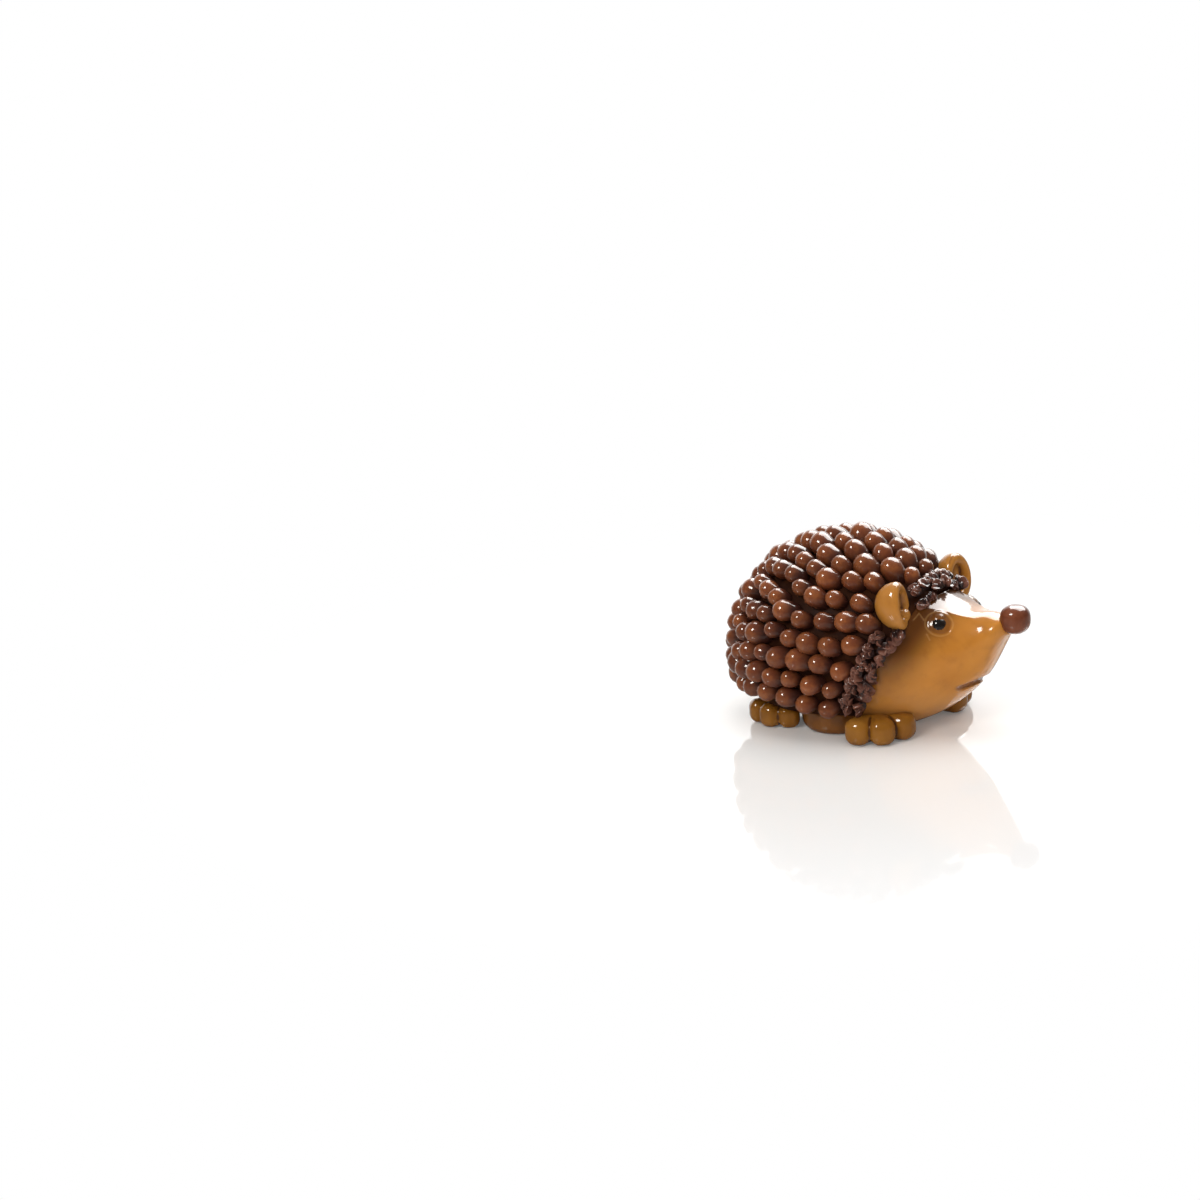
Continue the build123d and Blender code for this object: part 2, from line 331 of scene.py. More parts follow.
lid_ring = 2.4 * MM
lid_ring_stretch = (0.92, 1.06)
lid_width = 0.26 * MM
lid_height = 0.13 * MM
lid_painted_shade = 0.4
wrinkle_width = 0.24 * MM
wrinkle_height = 0.12 * MM
wrinkles = (
    ((-4.1, 0.7), (-4.7, -0.8)),
    ((-4.1, 0.7), (-2.9, -0.2)),
    ((-1.5, -2.6), (-0.7, -3.4)),
)
eye_zone = 7.0 * MM
eye_zone_depth = 0.9 * MM


def distance_to(spot, start, end):
    """Distance in the plane from a spot to a short line."""
    line = end - start
    share = min(1.0, max(0.0, (spot - start).dot(line) / line.length_squared))
    return (spot - start - line * share).length


# Painted highlight: the lid ring and the wrinkles are marked here, to be painted pale as glints on
# these ridges.
painted_glints = [0.0] * len(head.data.vertices)
shadowed = [0.0] * len(head.data.vertices)
for eye, outward, forward, upward in eye_places:
    for vert in head.data.vertices:
        away = vert.co - eye
        if away.length > eye_zone or away.dot(outward) < -eye_zone_depth:
            continue
        spot = Vector((away.dot(forward), away.dot(upward)))
        around = math.hypot(spot.x * lid_ring_stretch[0], spot.y * lid_ring_stretch[1])
        raised = ridge(around - lid_ring, lid_width)
        lift = lid_height * raised
        for first, last in wrinkles:
            fold = ridge(distance_to(spot, Vector(first) * MM, Vector(last) * MM), wrinkle_width)
            lift += wrinkle_height * fold
            raised = max(raised, fold)
        painted_glints[vert.index] = max(painted_glints[vert.index], raised)
        # Painted shade: the socket inside the lid ring is marked darker.
        shadowed[vert.index] = lid_painted_shade * (1 - eased(around, lid_ring - 2 * lid_width, lid_ring))
        vert.co += outward * lift
head.data.update()
mark_hollows(head, reach=0.04 * MM, rounds=5)
head.data.attributes.new("painted_glints", "FLOAT", "POINT").data.foreach_set("value", painted_glints)

mouth_middle = Vector((22.6, 0.0, 10.9)) * MM
mouth_slope = math.radians(21.0)
mouth_corner_x = 19.2 * MM
mouth_paint = 0.72 * MM
mouth_tone = 0.72
lip_reach = 1.3 * MM
for vert, mark in zip(head.data.vertices, head.data.attributes["crease"].data):
    mark.value = max(mark.value, shadowed[vert.index])
    if vert.co.x > mouth_corner_x - mouth_paint:
        from_middle = vert.co - mouth_middle
        gap = from_middle.z * math.cos(mouth_slope) - from_middle.x * math.sin(mouth_slope)
        start = min(1.0, (vert.co.x - mouth_corner_x + mouth_paint) / mouth_paint)
        if abs(gap) < lip_reach:
            mark.value = mouth_tone * start * ridge(gap, mouth_paint)

face_tan = (0.56, 0.225, 0.032)
face_wash_and_shade = (0.14, 0.036, 0.010)
face_amber = (0.40, 0.142, 0.016)
face_painted_shade = (0.09, 0.028, 0.003, 1.0)
face_glint_paint = (0.80, 0.46, 0.17, 1.0)
face_floor_light = (0.68, 0.33, 0.10, 1.0)
face_lean = math.radians(26.6)
face_varnish_roughness = 0.13
shade_reach = 9.5 * MM
shade_full = 2.0 * MM
shade_low = 7.0 * MM
shade_high = 19.0 * MM
shade_least = 0.25
floor_light_low = 5.0 * MM
floor_light_high = 13.0 * MM
floor_light_most = 0.5
glint_range = (0.4, 1.0)
glint_most = 0.13
face_resin, face_paint = resin("face resin", face_tan, face_wash_and_shade, face_amber, patch_size=90.0)
face_tree = face_resin.node_tree
face_shader = face_tree.nodes["Principled BSDF"]
face_place = add(face_tree, "ShaderNodeTexCoord").outputs["Object"]
face_height = add(face_tree, "ShaderNodeSeparateXYZ", [(0, face_place)]).outputs["Z"]
from_fringe = add(
    face_tree, "ShaderNodeVectorMath",
    [(0, face_place), (1, (math.cos(face_lean), 0.0, -math.sin(face_lean)))],
    operation="DOT_PRODUCT",
).outputs["Value"]
# Painted shade: the colour darkens near the fringe, most in the upper part of the head.
edge_share = spread(face_tree, from_fringe, shade_reach, shade_full)
upper_share = spread(face_tree, face_height, shade_low, shade_high, start=shade_least)
shade_share = add(
    face_tree, "ShaderNodeMath", [(0, edge_share), (1, upper_share)], operation="MULTIPLY"
).outputs[0]
# Painted light: the lower cheeks are lightened towards pale peach, as light thrown up from the white
# board would.
floor_light_share = spread(face_tree, face_height, floor_light_high, floor_light_low, end=floor_light_most)
floor_lit = mix(face_tree, floor_light_share, face_paint.outputs["Colour"], face_floor_light)
shaded = mix(face_tree, shade_share, floor_lit, face_painted_shade)
# Painted highlight: pale tan laid on the marked ridges around the eyes.
glint_mark = add(face_tree, "ShaderNodeAttribute", attribute_name="painted_glints").outputs["Fac"]
glint_share = spread(face_tree, glint_mark, *glint_range, end=glint_most)
glinted = mix(face_tree, glint_share, shaded, face_glint_paint)
face_tree.links.new(glinted, face_shader.inputs["Base Color"])
face_shader.inputs["Coat Roughness"].default_value = face_varnish_roughness
place_piece(head, face_resin, "face", "head")

# Eyes: round black beads pressed into the sockets and varnished with the rest.
# A hint of dark brown shows in the black paint.

bead_black = (0.006, 0.005, 0.005)
bead_wash = (0.004, 0.003, 0.003)
bead_brown = (0.02, 0.01, 0.006)
eye_resin = resin("eye bead", bead_black, bead_wash, bead_brown, patch_size=300.0)[0]
for side in ("left", "right"):
    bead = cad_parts[f"eye_{side}"]
    bead.data.materials.clear()
    bead.data.materials.append(eye_resin)

# Nose: a ball of resin, a little squared by the thumb that pressed it on,
# painted the reddish brown of the quills.

nose_squareness = 2.5
nose_fullness = 0.985
nose_red = (0.14, 0.035, 0.013)
nose_wash_and_shade = (0.05, 0.014, 0.008)
nose_blush = (0.24, 0.075, 0.035)
nose = soft_copy("nose", "nose_ball", grain=0.25 * MM, rounds=2)
nose_low, nose_high = (Vector(corner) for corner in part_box("nose"))
nose_middle = (nose_low + nose_high) / 2
nose_radius = (nose_high.x - nose_low.x) / 2
for vert in nose.data.vertices:
    away = (vert.co - nose_middle) / nose_radius
    square = sum(abs(part) ** nose_squareness for part in away) ** (1 / nose_squareness)
    if square > 0:
        vert.co = nose_middle + away / square * nose_radius * nose_fullness
# A wash and painted shade are marked in the creases of the nose.
mark_hollows(nose, reach=0.05 * MM, rounds=1)
nose_resin = resin("nose resin", nose_red, nose_wash_and_shade, nose_blush, patch_size=260.0)[0]
place_piece(nose, nose_resin, "nose", "nose")

# Quill cape: the back of the resin body, which carries the quills. Its dark brown is deepened
# to nearly black as painted shade for the gaps, it is left dull, and only slits of it show between
# them.

cape_dark_and_shade = (0.026, 0.008, 0.004)
cape_wash = (0.010, 0.003, 0.002)
cape_blush = (0.055, 0.018, 0.006)
cape_specular = 0.03
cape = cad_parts["quill_cape"]
cape_resin = resin("cape resin", cape_dark_and_shade, cape_wash, cape_blush, patch_size=420.0)[0]
cape_shader = cape_resin.node_tree.nodes["Principled BSDF"]
cape_shader.inputs["Coat Weight"].default_value = 0.0
cape_shader.inputs["Specular IOR Level"].default_value = cape_specular
cape.data.materials.clear()
cape.data.materials.append(cape_resin)

# Quills: egg-shaped pellets of resin, set one by one in rows from the rump to
# the face and leaning back. Each is glossy reddish brown, darkened by painted shade
# at its root and warmed to amber by painted light at its tip.

quill_sweep = 1.2
quill_lift = 0.1
size_spread = 0.15
row_order = Vector((0.31, 1.0, 0.17))
round_tip = 0.35
skin = BVHTree.FromObject(cape, bpy.context.evaluated_depsgraph_get())


def outward_at(spot):
    """Direction that the cape's skin faces below a point."""
    return skin.find_nearest(spot)[1]


def lean_at(spot):
    """Direction of a pellet: outwards, swept back along the skin."""
    outward = outward_at(spot)
    back = Vector((-1.0, 0.0, quill_lift))
    return (outward + (back - outward * back.dot(outward)) * quill_sweep).normalized()


def sphere_through(points):
    """Centre and radius of the ball that a set of points lies on."""
    around = sum(points, Vector()) / len(points)
    rows = [point - around for point in points]
    square = Matrix([[sum(row[i] * row[j] for row in rows) for j in range(3)] for i in range(3)])
    mean = sum(row.length_squared for row in rows) / len(rows)
    pull = Vector([sum(row[i] * (row.length_squared - mean) for row in rows) for i in range(3)]) / 2
    centre = around + square.inverted() @ pull
    radius = sum((point - centre).length for point in points) / len(points)
    return centre, radius


def pellets_of(node):
    """Ball centre, radius and lean of each separate pellet in a row, counted along a slanting line."""
    shape = bmesh.new()
    shape.from_mesh(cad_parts[node].data)
    bmesh.ops.remove_doubles(shape, verts=shape.verts, dist=weld_distance)
    shape.verts.index_update()
    free = [True] * len(shape.verts)
    found = []
    for first in shape.verts:
        if not free[first.index]:
            continue
        free[first.index] = False
        island = [first]
        for vert in island:
            for link in vert.link_edges:
                other = link.other_vert(vert)
                if free[other.index]:
                    free[other.index] = False
                    island.append(other)
        points = [vert.co.copy() for vert in island]
        middle = sum(points, Vector()) / len(points)
        lean = lean_at(middle)
        reach = [(point - middle).dot(lean) for point in points]
        top = max(reach)
        tip = [point for point, height in zip(points, reach) if height > round_tip * top]
        centre, radius = sphere_through(tip)
        found.append((centre, radius, lean))
    shape.free()
    found.sort(key=lambda pellet: pellet[0].dot(row_order))
    return found


def pellet_points(node, name, plumpness, unevenness):
    """Loose points that carry the size and lean of the pellets of one row."""
    found = pellets_of(node)
    faced = [outward_at(centre) for centre, radius, lean in found]
    seats = []
    for (centre, radius, lean), outward in zip(found, faced):
        swell = radius * (plumpness * (1 + size_spread) - 1) + unevenness / 2
        seats.append(centre - outward * swell)
    mesh = bpy.data.meshes.new(name)
    mesh.from_pydata(seats, [], [])
    girth_mark = mesh.attributes.new("girth", "FLOAT", "POINT")
    girth_mark.data.foreach_set("value", [radius for centre, radius, lean in found])
    lean_mark = mesh.attributes.new("lean", "FLOAT_VECTOR", "POINT")
    lean_mark.data.foreach_set("vector", [part for centre, radius, lean in found for part in lean])
    face_mark = mesh.attributes.new("outward", "FLOAT_VECTOR", "POINT")
    face_mark.data.foreach_set("vector", [part for outward in faced for part in outward])
    piece = bpy.data.objects.new(name, mesh)
    bpy.context.scene.collection.objects.link(piece)
    return piece


pellet_sides = 12
pellet_rings = 8
tone_seed = 100.0
scatter_seed = 200.0
dent_scale = 420.0


def pellet_tree(name):
    """Geometry nodes that set one varied pellet, or a cluster of flakes, on every point of a row."""
    tree = bpy.data.node_groups.new(name, "GeometryNodeTree")
    sockets = (
        ("Points", "INPUT", "NodeSocketGeometry"),
        ("Plumpness", "INPUT", "NodeSocketFloat"),
        ("Size Spread", "INPUT", "NodeSocketFloat"),
        ("Tail", "INPUT", "NodeSocketFloat"),
        ("Flatness", "INPUT", "NodeSocketFloat"),
        ("Fold", "INPUT", "NodeSocketFloat"),
        ("Disorder", "INPUT", "NodeSocketFloat"),
        ("Unevenness", "INPUT", "NodeSocketFloat"),
        ("Scatter", "INPUT", "NodeSocketFloat"),
        ("Width", "INPUT", "NodeSocketFloat"),
        ("Reach", "INPUT", "NodeSocketFloat"),
        ("Flakes", "INPUT", "NodeSocketInt"),
        ("Seed", "INPUT", "NodeSocketInt"),
        ("Finish", "INPUT", "NodeSocketMaterial"),
        ("Row", "OUTPUT", "NodeSocketGeometry"),
    )
    for label, way, kind in sockets:
        tree.interface.new_socket(name=label, in_out=way, socket_type=kind)
    start = add(tree, "NodeGroupInput").outputs
    end = add(tree, "NodeGroupOutput")

    def number(operation, *values):
        """Result of a sum on plain numbers."""
        return add(tree, "ShaderNodeMath", enumerate(values), operation=operation).outputs[0]

    def vector(operation, first, second):
        """Result of a sum on two directions."""
        links = [(0, first), (1, second)]
        return add(tree, "ShaderNodeVectorMath", links, operation=operation).outputs[0]

    def scaled(direction, factor):
        """Direction made longer or shorter by a factor."""
        links = [(0, direction), ("Scale", factor)]
        return add(tree, "ShaderNodeVectorMath", links, operation="SCALE").outputs[0]

    def random_direction(seed):
        """Direction with each part between -1 and 1, drawn for every point."""
        links = [("Min", (-1.0, -1.0, -1.0)), ("Max", (1.0, 1.0, 1.0)), ("Seed", seed)]
        return add(tree, "FunctionNodeRandomValue", links, data_type="FLOAT_VECTOR").outputs[0]

    def random_number(low, seed):
        """Number between low and 1, drawn for every point."""
        links = [(2, low), (3, 1.0), ("Seed", seed)]
        return add(tree, "FunctionNodeRandomValue", links, data_type="FLOAT").outputs[1]

    def carried(label, kind):
        """What the points of the row carry under a name."""
        links = [("Name", label)]
        return add(tree, "GeometryNodeInputNamedAttribute", links, data_type=kind).outputs[0]

    def marked(geometry, label, value, domain):
        """Geometry with a value stored under a name."""
        links = [("Geometry", geometry), ("Name", label), ("Value", value)]
        settings = {"data_type": "FLOAT", "domain": domain}
        return add(tree, "GeometryNodeStoreNamedAttribute", links, **settings).outputs[0]

    def moved(geometry, socket, value):
        """Geometry with its points set to a position or shifted by an offset."""
        links = [("Geometry", geometry), (socket, value)]
        return add(tree, "GeometryNodeSetPosition", links).outputs[0]

    girth = carried("girth", "FLOAT")
    lean = carried("lean", "FLOAT_VECTOR")
    outward = carried("outward", "FLOAT_VECTOR")

    egg = add(
        tree, "GeometryNodeMeshUVSphere",
        [("Segments", pellet_sides), ("Rings", pellet_rings), ("Radius", 1.0)],
    )
    position = add(tree, "GeometryNodeInputPosition").outputs[0]
    spot = add(tree, "ShaderNodeSeparateXYZ", [(0, position)]).outputs
    along = number("MULTIPLY_ADD", spot["Z"], 0.5, 0.5)
    drawn_tail = number("MULTIPLY", number("MINIMUM", spot["Z"], 0.0), start["Tail"])
    length = number("ADD", number("MAXIMUM", spot["Z"], 0.0), drawn_tail)
    height = number("ADD", length, start["Reach"])
    crease = number("MULTIPLY", number("ABSOLUTE", spot["X"]), start["Fold"])
    thickness = number("SUBTRACT", number("MULTIPLY", spot["Y"], start["Flatness"]), crease)
    shaped = add(tree, "ShaderNodeCombineXYZ", [("X", spot["X"]), ("Y", thickness), ("Z", height)])
    pellet = moved(marked(egg.outputs["Mesh"], "along", along, "POINT"), "Position", shaped.outputs[0])

    upright = add(tree, "FunctionNodeAlignRotationToVector", [("Vector", lean)], axis="Z")
    faced = add(
        tree, "FunctionNodeAlignRotationToVector",
        [("Rotation", upright.outputs[0]), ("Vector", outward)], axis="Y", pivot_axis="Z",
    )
    swing = scaled(random_direction(start["Seed"]), start["Disorder"])
    turn = add(tree, "FunctionNodeEulerToRotation", [("Euler", swing)])
    turned = add(
        tree, "FunctionNodeRotateRotation",
        [("Rotation", faced.outputs[0]), ("Rotate By", turn.outputs[0])], rotation_space="LOCAL",
    )
    varied = number("MULTIPLY_ADD", random_number(-1.0, start["Seed"]), start["Size Spread"], 1.0)
    size = number("MULTIPLY", number("MULTIPLY", girth, start["Plumpness"]), varied)

    seats = add(
        tree, "GeometryNodeDuplicateElements",
        [("Geometry", start["Points"]), ("Amount", start["Flakes"])], domain="POINT",
    )
    shift = scaled(random_direction(number("ADD", start["Seed"], scatter_seed)), start["Scatter"])
    level = vector("SUBTRACT", shift, vector("PROJECT", shift, outward))
    lengthwise = vector("PROJECT", level, vector("CROSS_PRODUCT", outward, lean))
    sideways = scaled(vector("SUBTRACT", level, lengthwise), start["Width"])
    scattered = moved(seats.outputs[0], "Offset", vector("ADD", lengthwise, sideways))
    placed = add(
        tree, "GeometryNodeInstanceOnPoints",
        [("Points", scattered), ("Instance", pellet), ("Rotation", turned.outputs[0]), ("Scale", size)],
    )
    tone = random_number(0.0, number("ADD", start["Seed"], tone_seed))
    toned = marked(placed.outputs[0], "tone", tone, "INSTANCE")
    solid = add(tree, "GeometryNodeRealizeInstances", [("Geometry", toned)])

    dents = add(tree, "ShaderNodeTexNoise", [("Scale", dent_scale), ("Detail", 1.0)]).outputs["Color"]
    nudge = scaled(vector("SUBTRACT", dents, (0.5, 0.5, 0.5)), start["Unevenness"])
    uneven = moved(solid.outputs[0], "Offset", nudge)
    smooth = add(tree, "GeometryNodeSetShadeSmooth", [("Geometry", uneven)])
    finished = add(
        tree, "GeometryNodeSetMaterial",
        [("Geometry", smooth.outputs[0]), ("Material", start["Finish"])],
    )
    tree.links.new(finished.outputs[0], end.inputs["Row"])
    return tree


def grow_row(node, name, tree, values):
    """Runs the pellet nodes on a row's points and keeps the result as a plain mesh."""
    piece = pellet_points(node, name, values["Plumpness"], values["Unevenness"])
    modifier = piece.modifiers.new("pellets", "NODES")
    modifier.node_group = tree
    for item in tree.interface.items_tree:
        if item.in_out == "INPUT" and item.name in values:
            modifier[item.identifier] = values[item.name]
    depsgraph = bpy.context.evaluated_depsgraph_get()
    mesh = bpy.data.meshes.new_from_object(piece.evaluated_get(depsgraph))
    points = piece.data
    piece.modifiers.clear()
    piece.data = mesh
    mesh.name = name
    bpy.data.meshes.remove(points)
    return piece


pellet_patch_size = 520.0
root_shade_range = (0.2, 0.58)
tip_light_share = 0.55
deep_share = 0.35


def pellet_finish(name, root, body, tip, tip_light_start):
    """Glossy pellet: darkened by painted shade at the root, reddish brown along its side and warmed by
    painted light at the tip.
    """
    material, paint = resin(name, body, root, tip, patch_size=pellet_patch_size, crease="none")
    tree = material.node_tree
    shader = tree.nodes["Principled BSDF"]
    along = add(tree, "ShaderNodeAttribute", attribute_name="along").outputs["Fac"]
    tone = add(tree, "ShaderNodeAttribute", attribute_name="tone").outputs["Fac"]
    # Painted shade darkens the root and painted light warms the tip.
    root_shaded = mix(tree, spread(tree, along, *root_shade_range), (*root, 1.0), paint.outputs["Colour"])
    tip_lit = mix(tree, spread(tree, along, tip_light_start, 1.0, end=tip_light_share), root_shaded, (*tip, 1.0))
    deeper = mix(tree, spread(tree, tone, 0.0, 1.0, end=deep_share), tip_lit, (*root, 1.0))
    tree.links.new(deeper, shader.inputs["Base Color"])
    return material


quill_rows = 11
quill_dark_and_shade = (0.036, 0.011, 0.008)
quill_brown = (0.17, 0.045, 0.017)
quill_amber_and_glow = (0.33, 0.105, 0.030)
quill_resin = pellet_finish("quill resin", quill_dark_and_shade, quill_brown, quill_amber_and_glow, tip_light_start=0.55)
quill_nodes = pellet_tree("quill pellets")
quill_form = {
    "Plumpness": 1.06,
    "Size Spread": size_spread,
    "Tail": 1.8,
    "Flatness": 1.0,
    "Fold": 0.0,
    "Disorder": 0.28,
    "Unevenness": 0.4 * MM,
    "Scatter": 0.5 * MM,
    "Width": 1.0,
    "Reach": 0.0,
    "Flakes": 1,
    "Finish": quill_resin,
}
for row in range(1, quill_rows + 1):
    node = f"quill_row_{row:02d}"
    pellets = grow_row(node, f"{node}_pellets", quill_nodes, {**quill_form, "Seed": row})
    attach(pellets, "root")
    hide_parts(node)

# Fringe: two rows of small tufts that frame the face, each a cluster of folded flakes
# of resin, pressed on where the quills meet the skin and painted a dull purple brown,
# with painted shade at their roots and painted highlight on their pale tips.

tuft_dark_and_shade = (0.022, 0.009, 0.008)
tuft_brown = (0.098, 0.033, 0.022)
tuft_pale_and_sheen = (0.25, 0.105, 0.070)
tuft_resin = pellet_finish("tuft resin", tuft_dark_and_shade, tuft_brown, tuft_pale_and_sheen, tip_light_start=0.5)
tuft_form = {
    "Plumpness": 0.74,
    "Size Spread": 0.3,
    "Tail": 1.5,
    "Flatness": 0.35,
    "Fold": -0.5,
    "Disorder": 0.9,
    "Unevenness": 0.4 * MM,
    "Width": 0.35,
    "Reach": 0.35,
    "Finish": tuft_resin,
}
fringe_rows = {
    "fringe_back": {"Seed": 40, "Scatter": 1.3 * MM, "Flakes": 10},
    "fringe_front": {"Seed": 41, "Scatter": 1.1 * MM, "Flakes": 8},
}
for node, cluster in fringe_rows.items():
    tufts = grow_row(node, f"{node}_tufts", quill_nodes, {**tuft_form, **cluster})
    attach(tufts, "root")
    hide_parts(node)

# Ears: thick-lipped cups of resin set on the edge of the cape, each with a dish and a
# lobe inside. They are tan outside, with painted shade darkening the hollow.

lip_depth = 1.3 * MM
lobe_forward = 1.3 * MM
lobe_inward = 1.7 * MM
lobe_drop = 2.5 * MM
lobe_radius = 1.5 * MM
dish_place = Vector((-0.4, 0.0, 0.2)) * MM
dish_depth = Vector((1.9, 0.0, 0.0)) * MM
dish_width = Vector((0.0, 2.0, 0.0)) * MM
dish_height = Vector((0.0, 0.0, 3.5)) * MM
hollow_half_width = 2.2 * MM
hollow_facing = 0.2
hollow_fade = 1.0 * MM
hollow_shade = 0.5
ear_tan = (0.45, 0.185, 0.032)
ear_wash_and_shade = (0.11, 0.036, 0.010)
ear_blush = (0.52, 0.25, 0.08)
ear_resin = resin("ear resin", ear_tan, ear_wash_and_shade, ear_blush, patch_size=140.0)[0]
for side in ("left", "right"):
    low, high = (Vector(corner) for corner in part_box(f"ear_{side}"))
    inward = -math.copysign(1.0, low.y + high.y)
    middle = (low + high) / 2
    lobe = ball(middle + Vector((lobe_forward, inward * lobe_inward, -lobe_drop)), lobe_radius)
    dish = mound(middle + dish_place, dish_depth, dish_width, dish_height)
    ear = soft_copy(f"ear_{side}", f"ear_cup_{side}", grain=0.2 * MM, rounds=7, lumps=[lobe, dish])
    mark_hollows(ear, reach=0.024 * MM, rounds=6)
    # Painted shade: the inside of the cup is marked darker behind the lip.
    for vert, mark in zip(ear.data.vertices, ear.data.attributes["crease"].data):
        from_lip = high.x - lip_depth - vert.co.x
        from_axis = abs(vert.co.y - middle.y)
        if vert.normal.x > hollow_facing and from_axis < hollow_half_width:
            mark.value = max(mark.value, hollow_shade * eased(from_lip, 0.0, hollow_fade))
    place_piece(ear, ear_resin, "ear", f"ear_{side}")

# Paws: fat rounded toes of resin, cast in threes, honey coloured with a brown wash
# and painted shade between the toes, flat where they stand.

paw_honey = (0.25, 0.096, 0.009)
paw_wash_and_shade = (0.07, 0.022, 0.004)
paw_blush = (0.33, 0.14, 0.018)
paw_resin = resin("paw resin", paw_honey, paw_wash_and_shade, paw_blush, patch_size=170.0)[0]
for end in ("front", "rear"):
    for side in ("left", "right"):
        paw = soft_copy(f"{end}_paw_{side}", f"{end}_paw_toes_{side}", grain=0.24 * MM, rounds=14)
        # A brown wash and painted shade are marked in the grooves between the toes.
        mark_hollows(paw, reach=0.013 * MM, rounds=2)
        place_piece(paw, paw_resin, "paw", f"{end}_paw_{side}")

# Table top: a glossy white board that the figurine stands on and is mirrored in.
# It fades to pure white a hand's breadth away.

floor_half = 3.0
board_white = (0.92, 0.915, 0.91, 1.0)
board_cloud = (0.935, 0.932, 0.93, 1.0)
board_mirrored = (0.5, 0.49, 0.48, 1.0)
cloud_scale = 30.0
board_roughness = 0.05
board_ior = 1.55
board_glow = 0.09
glare_start = 0.035
glare_end = 0.14
floor_corners = [
    (-floor_half, -floor_half, 0.0),
    (floor_half, -floor_half, 0.0),
    (floor_half, floor_half, 0.0),
    (-floor_half, floor_half, 0.0),
]
floor_mesh = bpy.data.meshes.new("table_top")
floor_mesh.from_pydata(floor_corners, [], [(0, 1, 2, 3)])
floor = bpy.data.objects.new("table_top", floor_mesh)
bpy.context.scene.collection.objects.link(floor)
board = bpy.data.materials.new("white board")
board.use_nodes = True
board_tree = board.node_tree
board_shader = board_tree.nodes["Principled BSDF"]
board_shader.inputs["Roughness"].default_value = board_roughness
board_shader.inputs["IOR"].default_value = board_ior
board_shader.inputs["Emission Color"].default_value = WHITE
board_place = add(board_tree, "ShaderNodeTexCoord").outputs["Object"]
board_rays = add(board_tree, "ShaderNodeLightPath").outputs
cloud = noise(board_tree, board_place, cloud_scale, detail=2.0)
board_tint = mix(board_tree, cloud, board_white, board_cloud)
board_seen = mix(board_tree, board_rays["Is Glossy Ray"], board_tint, board_mirrored)
board_tree.links.new(board_seen, board_shader.inputs["Base Color"])
to_camera = board_rays["Is Camera Ray"]
glow = add(board_tree, "ShaderNodeMath", [(0, to_camera), (1, board_glow)], operation="MULTIPLY")
board_tree.links.new(glow.outputs[0], board_shader.inputs["Emission Strength"])
far_out = add(board_tree, "ShaderNodeVectorMath", [(0, board_place)], operation="LENGTH")
faded = spread(board_tree, far_out.outputs["Value"], glare_start, glare_end)
glare_share = add(board_tree, "ShaderNodeMath", [(0, faded), (1, to_camera)], operation="MULTIPLY")
glare = add(board_tree, "ShaderNodeEmission", [("Strength", 1.0)])
board_finish = add(
    board_tree, "ShaderNodeMixShader",
    [(0, glare_share.outputs[0]), (1, board_shader.outputs[0]), (2, glare.outputs[0])],
)
board_tree.links.new(board_finish.outputs[0], board_tree.nodes["Material Output"].inputs["Surface"])
floor_mesh.materials.append(board)

# Studio light: a white room with a bright backdrop behind the figurine, soft lamps above
# and in front that light it, and a large card and a small warm lamp that show in the varnish.

camera_turn = math.radians(33.0)
room_light = 0.38
dark_room = 0.07
bright_backdrop = 1.8
backdrop_edge = (0.4, 0.95)
room_white = (1.0, 0.995, 0.985, 1.0)
world = bpy.data.worlds.new("studio")
bpy.context.scene.world = world
world.use_nodes = True
sky_tree = world.node_tree
sky = sky_tree.nodes["Background"]
sky.inputs["Color"].default_value = room_white
heading = add(sky_tree, "ShaderNodeTexCoord").outputs["Generated"]
behind = add(
    sky_tree, "ShaderNodeVectorMath",
    [(0, heading), (1, (-math.sin(camera_turn), math.cos(camera_turn), 0.0))], operation="DOT_PRODUCT",
).outputs["Value"]
backdrop = spread(sky_tree, behind, *backdrop_edge, dark_room, bright_backdrop)
ray = add(sky_tree, "ShaderNodeLightPath").outputs
mirrored = add(
    sky_tree, "ShaderNodeMix",
    [(0, ray["Is Glossy Ray"]), (2, room_light), (3, backdrop)], data_type="FLOAT",
).outputs[0]
strength = add(
    sky_tree, "ShaderNodeMix",
    [(0, ray["Is Camera Ray"]), (2, mirrored), (3, 1.0)], data_type="FLOAT",
).outputs[0]
sky_tree.links.new(strength, sky.inputs["Strength"])


def softbox(name, spot, aim, size, watts, colour, lights=True, shows=True):
    """Rectangular lamp that faces a point: it lights the surface, shows in the varnish, or both."""
    lamp = bpy.data.lights.new(name, "AREA")
    lamp.shape = "RECTANGLE"
    lamp.size, lamp.size_y = size
    lamp.energy = watts
    lamp.color = colour
    holder = bpy.data.objects.new(name, lamp)
    holder.location = spot
    holder.rotation_mode = "QUATERNION"
    holder.rotation_quaternion = (Vector(aim) - Vector(spot)).to_track_quat("-Z", "Y")
    holder.visible_diffuse = lights
    holder.visible_glossy = shows
    bpy.context.scene.collection.objects.link(holder)


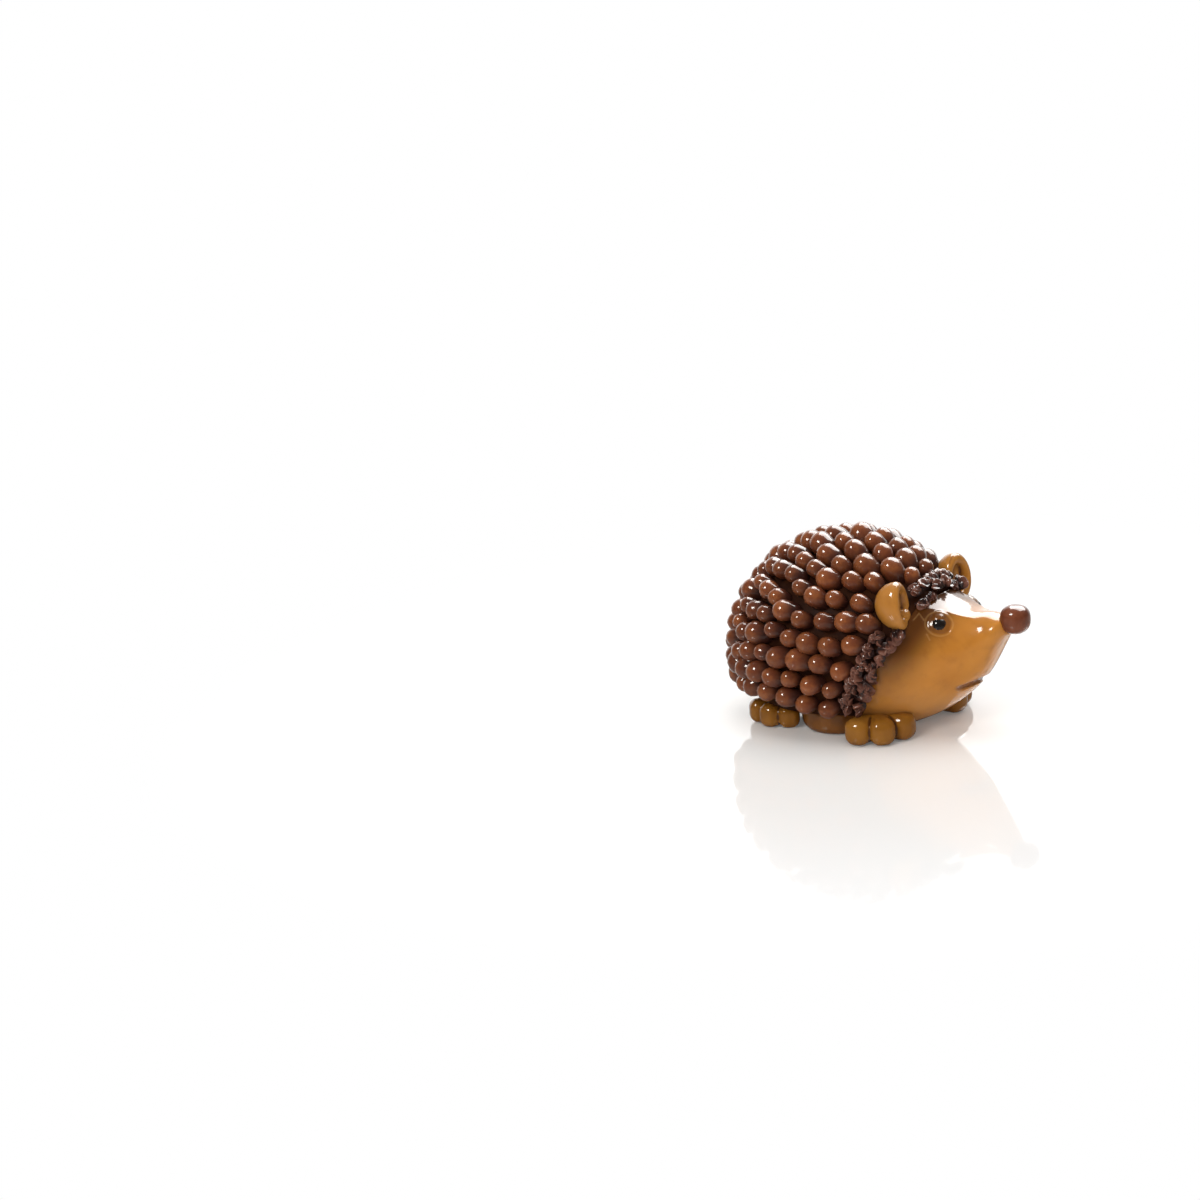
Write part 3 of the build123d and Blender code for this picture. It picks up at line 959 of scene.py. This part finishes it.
body_middle = (0.0, 0.0, 0.015)
face_middle = (0.01, 0.0, 0.015)
softbox(
    "overhead", spot=(0.0, 0.05, 0.6), aim=body_middle, size=(0.6, 0.6), watts=2.1,
    colour=(1.0, 0.98, 0.95), shows=False,
)
softbox(
    "back card", spot=(-0.04, 0.40, 0.54), aim=body_middle, size=(0.70, 0.55), watts=15.5,
    colour=(1.0, 0.99, 0.97), lights=False,
)
softbox(
    "front lamp", spot=(-0.25, -0.70, 0.59), aim=body_middle, size=(0.24, 0.24), watts=6.5,
    colour=(1.0, 0.96, 0.90), lights=False,
)
softbox(
    "front light", spot=(0.05, -0.80, 0.50), aim=body_middle, size=(0.3, 0.3), watts=3.2,
    colour=(1.0, 0.95, 0.88), shows=False,
)
softbox(
    "face fill", spot=(0.6, -0.45, 0.3), aim=face_middle, size=(0.25, 0.25), watts=0.7,
    colour=(1.0, 0.98, 0.96), shows=False,
)

# Camera: the photograph's own viewing angle, a long lens a little above the
# figurine, with the picture tilted a few degrees as it is there.

photo_side = 1200
focal_pixels = 6000
pixels_per_metre = 5300
stand_point = Vector((-0.004, 0.0, 0.0))
stand_pixel = (868, 716)
elevation = math.radians(17.5)
roll = math.radians(2.7)
level_back = Vector((math.sin(camera_turn), -math.cos(camera_turn), 0.0))
back = level_back * math.cos(elevation) + Vector((0.0, 0.0, math.sin(elevation)))
level_right = Vector((math.cos(camera_turn), math.sin(camera_turn), 0.0))
level_up = back.cross(level_right)
frame_right = level_right * math.cos(roll) - level_up * math.sin(roll)
frame_up = back.cross(frame_right)
facing = Matrix((frame_right, frame_up, back)).transposed()
to_stand = Vector((stand_pixel[0] - photo_side / 2, photo_side / 2 - stand_pixel[1], -focal_pixels))
off_axis = to_stand.rotation_difference(Vector((0.0, 0.0, -1.0)))
lens = bpy.data.cameras.new("camera")
lens.sensor_width = 36.0
lens.lens = lens.sensor_width * focal_pixels / photo_side
lens.clip_start = 0.05
lens.clip_end = 20.0
camera = bpy.data.objects.new("camera", lens)
camera.rotation_mode = "QUATERNION"
camera.location = stand_point + back * (focal_pixels / pixels_per_metre)
camera.rotation_quaternion = (facing @ off_axis.to_matrix()).to_quaternion()
bpy.context.scene.collection.objects.link(camera)
bpy.context.scene.camera = camera
bpy.context.scene.view_settings.view_transform = "Standard"
